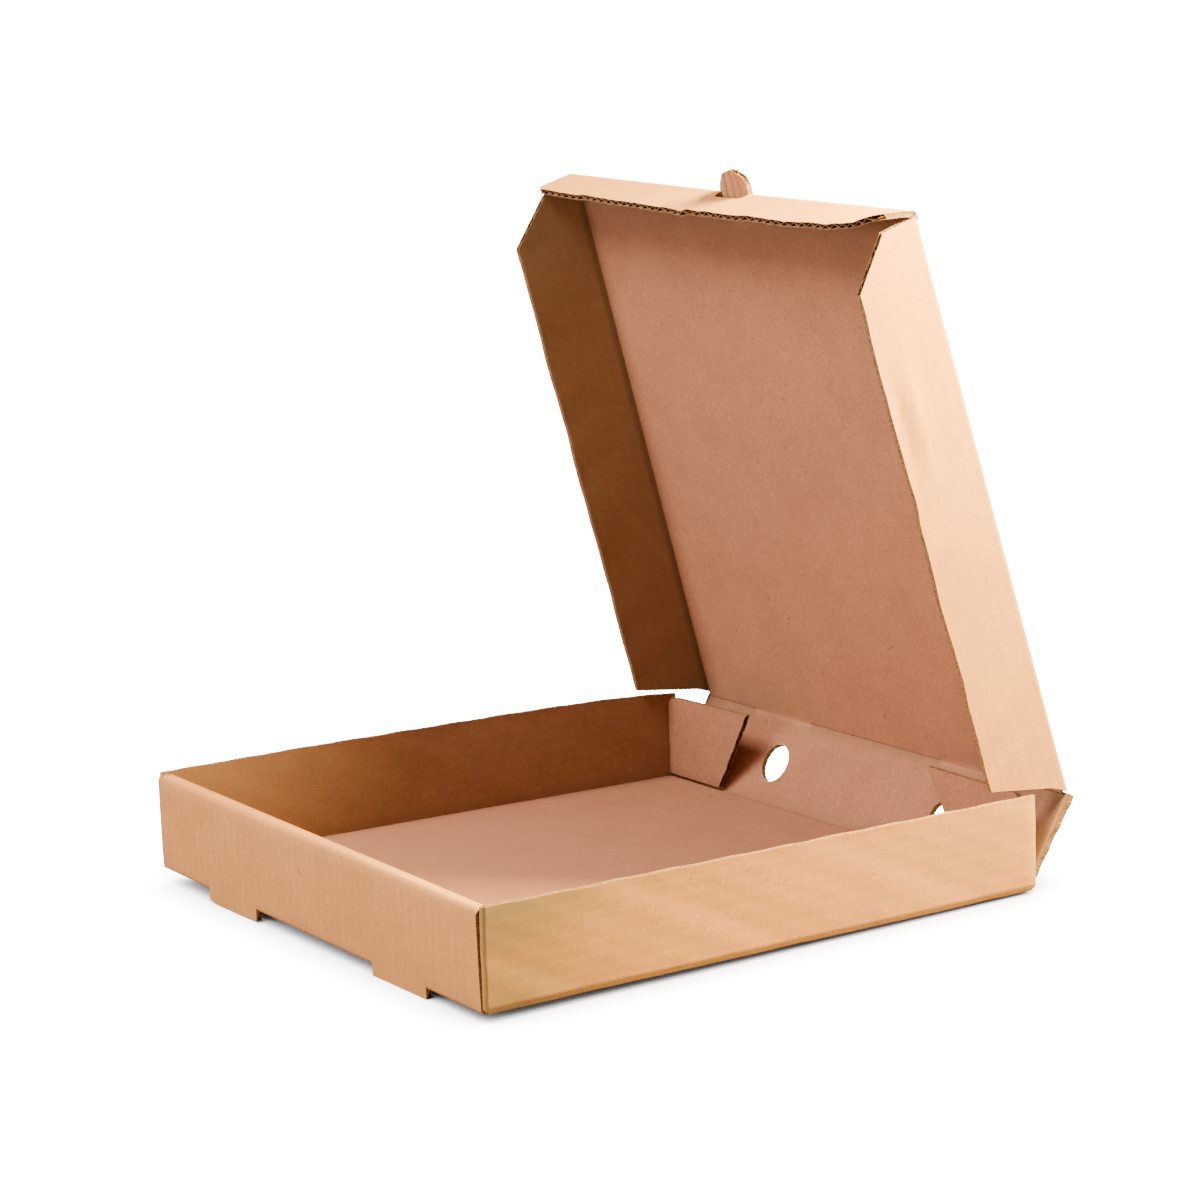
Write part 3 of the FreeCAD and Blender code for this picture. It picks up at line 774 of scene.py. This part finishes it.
def punch(piece, centre, way, radius, reach=0.006, sides=64):
    """Cut a round hole through a piece: a cylinder about way is taken from its mesh."""
    turn = np.linspace(0, 2 * np.pi, sides, endpoint=False)
    ring = centre + radius * (np.cos(turn)[:, None] * x_way
                              + np.sin(turn)[:, None] * np.cross(way, x_way))
    points = np.concatenate((ring - reach * way, ring + reach * way))
    number = np.arange(sides)
    following = (number + 1) % sides
    walls = np.stack((number, following, following + sides, number + sides), -1).tolist()
    faces = walls + [number[::-1].tolist(), (number + sides).tolist()]
    mesh = bpy.data.meshes.new("punch")
    mesh.from_pydata(points.tolist(), [], faces)
    for material in finishes:
        mesh.materials.append(material)
    slots = np.full(len(mesh.polygons), edge_slot, np.int32)
    mesh.polygons.foreach_set("material_index", slots)
    cutter = bpy.data.objects.new("punch", mesh)
    bpy.context.collection.objects.link(cutter)
    modifier = piece.modifiers.new("punch", "BOOLEAN")
    modifier.operation = "DIFFERENCE"
    modifier.solver = "EXACT"
    modifier.object = cutter
    graph = bpy.context.evaluated_depsgraph_get()
    result = bpy.data.meshes.new_from_object(piece.evaluated_get(graph))
    piece.modifiers.clear()
    piece.data = result
    bpy.data.objects.remove(cutter)


bridge_ends = np.array(bridges).ravel()
across = with_cuts(even(-back_half_width, back_half_width, pitch / 8), bridge_ends)
high = np.where(in_bridge(across), back_length - bridge_reach, back_length + 0.0010)
share = np.linspace(0, 1, back_rows)[:, None]
u = crease_reach + share * (high - crease_reach)
right_end = across > back_half_width - 1e-6
v = across + (0.0005 * ripple(u, 0.012, 43) + 0.0018 * u / back_length) * right_end
back_wall = board_piece("back_wall_panel", "back_wall", back_surface, u, v,
                        open_ends=(False, True), marks=back_marks)
for side in (-1, 1):
    vent = back_foot + (vent_up - (side > 0) * right_vent_drop) * back_way
    punch(back_wall, vent + side * vent_x * x_way, back_out, vent_radius)
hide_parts("back_wall")

# Creases: the same sheet goes on round them. One joins the floor to the back
# wall over its whole width, and two bridges join the back wall to the lid.

y_way = np.array((0.0, 1.0, 0.0))
bend_radius = 0.0026
bend_steps = 8
blended_share = 0.8


def crease_piece(name, bodies, axis, ways, reach, ends, bulge):
    """A strip of board that bends round an axis along X, from one panel's way to the next's,
    by a round fold. It bulges a little into the box in the middle of its width."""
    before, after = (np.array(way[1:]) for way in ways)
    centre = np.array(axis[1:])
    line = FoldLine([centre - before * reach, centre, centre + after * reach], bend_radius,
                    bend_steps)

    def surface(u, v):
        y, z, normal_y, normal_z, fold = line.at(u)
        middle = np.stack((v, y, z), -1)
        out = -np.stack((0 * u, normal_y, normal_z), -1)
        place = np.clip((v - ends[0]) / (ends[1] - ends[0]), 0, 1)
        round_bend = np.sin(np.pi * np.clip(u / line.length, 0, 1)) ** 2
        lift = bulge * np.sin(np.pi * place) * round_bend
        middle = middle - lift[..., None] * out
        if bodies[0] == "tray":
            return racked(middle), out, -0.5 * fold
        return middle + back_rack(back_length - reach + u, v), out, -0.5 * fold

    def marks(u, v, inside):
        # Inside the bend, painted shade darkens it and tints it olive at its middle; the bridges
        # also have a pale line there inside.
        rub = np.abs(u - line.length / 2)
        pale = 0.35 * bell(rub, 0.0025) * (bodies[0] != "tray")
        return 0.20 * bell(rub, 0.004) * inside, 0.2 * bell(rub, 0.005) * inside, pale * inside

    stations = line.stations(0.0, line.length, 0.001)
    piece = board_piece(name, None, surface, stations[:, None],
                        even(ends[0], ends[1], 0.002)[None, :], marks=marks)
    tuple(axis - ways[0] * reach * blended_share)
    tuple(axis + ways[1] * reach * blended_share)
    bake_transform(piece)
    return piece


foot_crease = crease_piece("back_wall_foot_crease", ("tray", "back_wall"), back_foot,
                           (y_way, back_way), crease_reach, (-back_half_width, back_half_width), 0)
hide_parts("back_wall")
for side_name, ends in zip(("left", "right"), bridges):
    bridge = crease_piece(f"lid_{side_name}_bridge", ("back_wall", "lid"), hinge,
                          (back_way, lid_way), bridge_reach, ends, 0.0004)
    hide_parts("lid")

# Lid: a tapered panel of the same board with a flap folded down along each side. The side
# flaps splay a little, their free edges are wavy, and their front corners are cut off.

lid_length = 0.293
lid_rear_half = 0.1455
lid_front_half = 0.1398
lid_flap_depth = 0.0436
lid_slit = 0.0015
lid_fold = 0.0006
lid_left_extra = 0.0012
lid_dish = 0.0006
lid_ripple = 0.0007
lid_crinkle = 0.0009
lid_rows = 72
side_edge = lid_rear_half - half_board
lid_section = FoldLine([(-side_edge, half_board - lid_flap_depth), (-side_edge, 0.0),
                        (side_edge, 0.0), (side_edge, half_board - lid_flap_depth)], lid_fold)
flap_run = lid_flap_depth - half_board
panel_start = flap_run - 2 * lid_fold + lid_fold * np.pi / 2
splay_rear = {-1: 0.045, 1: 0.018}
splay_front = {-1: 0.145, 1: 0.090}


def long_side(x):
    """The lid is a little longer at its left than at its right."""
    return lid_left_extra * np.clip(-x / lid_front_half, 0, 1)


def lid_place(x, along, height):
    """From the lid's own places: across, along from its crease, and out from its middle."""
    closed_y = back_foot[1] - along
    rack = twist * (x / half_width) * (closed_y / half_depth)
    return (hinge + x[..., None] * x_way + along[..., None] * lid_way
            + (height + rack)[..., None] * lid_out)


def lid_surface(u, v):
    """lid_section carried along the lid, drawn in evenly towards the front, with its flaps
    splayed by an angle that grows towards the front. The flaps cockle near their free edges,
    and the panel is a shallow dish."""
    x, height, away_x, away_up, fold = lid_section.at(v)
    taper = (lid_rear_half - lid_front_half) * u / lid_length
    side = np.sign(x)
    depth = np.clip(-height, 0, None)
    on_panel = depth < 1e-6
    along = np.clip(u / lid_length, 0, 1)
    splay = np.where(side < 0, splay_rear[-1] + (splay_front[-1] - splay_rear[-1]) * along,
                     splay_rear[1] + (splay_front[1] - splay_rear[1]) * along)
    cockle = lid_ripple * ripple(u + 0.4 * depth, 0.12, 52) * (depth / lid_flap_depth) ** 1.5
    cockle = cockle + lid_crinkle * bell(u - 0.205, 0.025) * np.sin(depth / 0.0035) * bell(
        depth - 0.033, 0.012) * (side > 0)
    x = x - taper * np.clip(x / side_edge, -1, 1) + side * (depth * splay + cockle)
    dish = lid_dish * np.sin(np.pi * along) * np.cos(np.pi * x / 0.29) * on_panel
    middle = lid_place(x, u, height - dish)
    out = away_x[..., None] * x_way + away_up[..., None] * lid_out
    return middle, out, fold


def lid_marks(u, v, inside):
    """Painted shade darkens the folds inside, a crease crosses the left flap, which carries
    painted shade inside, darker and olive, the panel is crushed and grey by its hinge and
    carries painted shade under the front flap, and the right flap's outside is creased near
    its front."""
    x, height, _, _, _ = lid_section.at(v)
    depth = np.clip(-height, 0, None)
    on_panel = depth < 1e-6
    # Painted shade in the folds between the panel and its side flaps, inside.
    fold_shade = 0.35 * bell(np.abs(x) - side_edge, 0.004) * (depth < 0.004)
    fold_shade = fold_shade + 0.3 * bell(depth, 0.004) * (np.abs(x) > side_edge - 0.001)
    slant = depth - 0.008 - 0.45 * (u - 0.085)
    crease = 0.10 * bell(slant, 0.0015) * (x < -side_edge + 0.002) * bell(u - 0.11, 0.035)
    scuff = 0.5 * bell(u - 0.012, 0.009) * bell(x + 0.085, 0.045) * on_panel
    # Painted shade on the panel under the front flap.
    under_flap_shade = 0.60 * bell(u - lid_length, 0.034) * on_panel
    # Painted shade on the left flap's inside.
    left_flap_shade = np.clip(-(x + side_edge - 0.0008) / 0.0006, 0, 1)
    rub = 0.35 * bell(u - 0.205, 0.03) * (ripple(depth * 3 + u, 0.02, 61) > 0.2) * (
        x > side_edge - 0.002) * bell(depth - 0.035, 0.010)
    if inside:
        # Olive from a real scuff by the hinge, plus painted shade on the left flap and under the
        # front flap.
        grime_and_shade = 0.8 * scuff + 0.45 * left_flap_shade + 0.4 * under_flap_shade
        return fold_shade + 1.2 * under_flap_shade + 0.45 * left_flap_shade, grime_and_shade, crease
    return 0.5 * rub, 0 * u, 0.25 * bell(depth - lid_flap_depth, 0.002)


v_line = with_cuts(lid_section.stations(0.0, lid_section.length, pitch / 4),
                   panel_start + side_edge + np.array(bridges).ravel())
from_edge = np.minimum(v_line, lid_section.length - v_line)
depth = lid_flap_depth - from_edge
x_line = lid_section.at(v_line)[0]
is_flap = depth > half_board
rear = np.where(is_flap, np.interp(depth, (0.0, 0.0095, lid_flap_depth), (0.0019, 0.008, 0.022)),
                lid_slit)
rear = np.where(in_bridge(x_line) & ~is_flap, bridge_reach, rear)
nose = lid_length - board - ply_gap
front = np.where(is_flap, np.interp(depth, (0.0, 0.022, lid_flap_depth),
                                    (nose, nose, lid_length - 0.0244)),
                 lid_length - 0.004 + long_side(x_line))
share = np.linspace(0, 1, lid_rows)[:, None]
u = rear + share * (front - rear)
flap_wave = 1 + 0.016 * ripple(u, 0.09, 55) * np.sin(np.pi * np.clip(u / lid_length, 0, 1))
edge_run = flap_run * (flap_wave - 1)
near_left = np.clip((flap_run - v_line) / flap_run, 0, 1)
near_right = np.clip((v_line - (lid_section.length - flap_run)) / flap_run, 0, 1)
v = v_line - near_left * edge_run + near_right * edge_run
lid_sheet = board_piece("lid_sheet", "lid", lid_surface, u, v, open_ends=(True, True),
                        marks=lid_marks)
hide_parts("lid")

# Front flap of the lid: the board folded down across the flutes, so that their open ends show
# all along its free edge. It bends past square in the middle and springs up at its right end.

front_flap_depth = 0.0245
corner_radius = 0.007
nose_start = lid_length - 0.0045
nose_line = FoldLine([(nose_start, 0.0), (lid_length - half_board, 0.0),
                      (lid_length - half_board, half_board - front_flap_depth)], lid_fold)
bend_at = (-0.140, -0.079, -0.0135, -0.0097, 0.051, 0.082, 0.103, 0.125, 0.140)
bend = np.radians((0.0, 1.5, 4.5, 3.0, 2.6, 3.6, 1.5, -4.5, -15.0))
notch_half = 0.0115
notch_shift = 0.002
notch_depth = 0.0085
notch_round = 0.004
flap_ripple = 0.0003
turned_from = 0.006
nose_left_end = 0.1445


def nose_surface(u, v):
    """nose_line carried across the lid, its flap turned about the crease by bend. Its free
    edge curls a little, and the lid's greater length at the left goes with it."""
    along, height, away_along, away_up, fold = nose_line.at(u)
    depth = np.clip(-height, 0, None)
    turn = np.interp(v, bend_at, bend) * np.clip(depth / turned_from, 0, 1)
    curl = flap_ripple * ripple(v, 0.045, 71) * (depth / front_flap_depth) ** 2
    along = along - depth * np.sin(turn) + curl + long_side(v)
    height = height + depth * (1 - np.cos(turn))
    middle = lid_place(v, along, height)
    out = away_along[..., None] * lid_way + away_up[..., None] * lid_out
    return middle, out, fold


def nose_marks(u, v, inside):
    """Worn along the crease, and wrinkled beside the tongue."""
    crease = 0.25 * bell(u - 0.0035, 0.0012)
    wrinkle = 0.25 * bell(v + 0.02 - 0.6 * u, 0.0012) + 0.2 * bell(v - 0.022 + 0.4 * u, 0.001)
    return wrinkle * (1 - inside), 0 * u, crease


notch_ends = np.array((notch_shift - notch_half, notch_shift + notch_half))
across = with_cuts(even(-nose_left_end, lid_front_half, pitch / 8), notch_ends)
end = np.where(across < 0, nose_left_end, lid_front_half)
from_end = np.clip(end - np.abs(across), 0, corner_radius)
rounding = corner_radius - np.sqrt(corner_radius ** 2 - (corner_radius - from_end) ** 2)
ragged = (0.0005 * ripple(across, 0.035, 73) + 0.0006 * bell(across + 0.0135, 0.004)
          - 0.0009 * bell(across + 0.0095, 0.003) - 0.0010 * bell(across - 0.090, 0.006))
high = nose_line.length - rounding + ragged
stations = nose_line.stations(0.0, nose_line.length, 0.002)
past_crease = 0.009
stretch = (high - past_crease) / (nose_line.length - past_crease)
stretched = past_crease + (stations[:, None] - past_crease) * stretch
grid = np.where(stations[:, None] > past_crease, stretched, stations[:, None] + 0 * across)
in_notch = (across > notch_ends[0]) & (across < notch_ends[1])
notch_low = nose_line.length - front_flap_depth + notch_depth
share = np.linspace(0, 1, len(stations))[:, None]
for part, keep in (("left", across < notch_ends[0]), ("right", across > notch_ends[1]),
                   ("middle", in_notch)):
    u = grid[:, keep]
    if part == "middle":
        from_side = notch_half - np.abs(across[keep] - notch_shift)
        corner = np.clip(1 - from_side / notch_round, 0, 1)
        low = notch_low - notch_round * (1 - np.sqrt(1 - corner ** 2))
        u = low + share * (high[keep] - low)
    flap = board_piece(f"lid_front_flap_{part}", "lid", nose_surface, u, across[None, keep],
                       open_ends=(False, True), marks=nose_marks)
    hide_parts("lid")

# Pull tongue: cut free from the front flap, so that it stays up in the lid's own plane.
# It is bent and creased along its flutes from being pulled.

tongue_half = 0.0235 / 2
tongue_length = 0.012
tip_radius = 0.007
tongue_curl = 0.0035
tongue_lift = 0.0008
pleat_height = 0.0003
pleat_pitch = 0.0052
tongue_rows = 16


def tongue_surface(u, v):
    """The lid's plane carried on, drawn to the right, curling in at its right side."""
    reach = np.clip(u / tongue_length, 0, None)
    curl = -tongue_curl * reach ** 2 * (0.5 + v / (2 * tongue_half)) + tongue_lift * reach
    pleat = pleat_height * np.cos(2 * np.pi * v / pleat_pitch)
    middle = lid_place(v + 0.0015 + 0.001 * reach, lid_length + u - 0.0004, curl + pleat)
    return middle, np.zeros_like(middle) + lid_out, np.zeros_like(u)


def tongue_marks(u, v, inside):
    """Three dark creases along the flutes, pale fibres between them, and an olive stain."""
    lines = bell(v + 0.0062, 0.0006) + bell(v + 0.0002, 0.0005) + bell(v - 0.0055, 0.0006)
    return 0.9 * lines, 0.6 + 0 * u, 0.45 * (1 - lines)


across = even(-tongue_half, tongue_half, pitch / 12)
from_end = np.clip(tongue_half - np.abs(across), 0, tip_radius)
tip = tongue_length - tip_radius + np.sqrt(tip_radius ** 2 - (tip_radius - from_end) ** 2)
tip = tip - 0.003 * np.clip(-across / tongue_half, 0, 1)
base = nose_start - lid_length
share = np.linspace(0, 1, tongue_rows)[:, None]
tongue = board_piece("lid_pull_tongue", "lid", tongue_surface, base + share * (tip - base),
                     across[None, :], open_ends=(False, True), marks=tongue_marks)
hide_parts("lid")
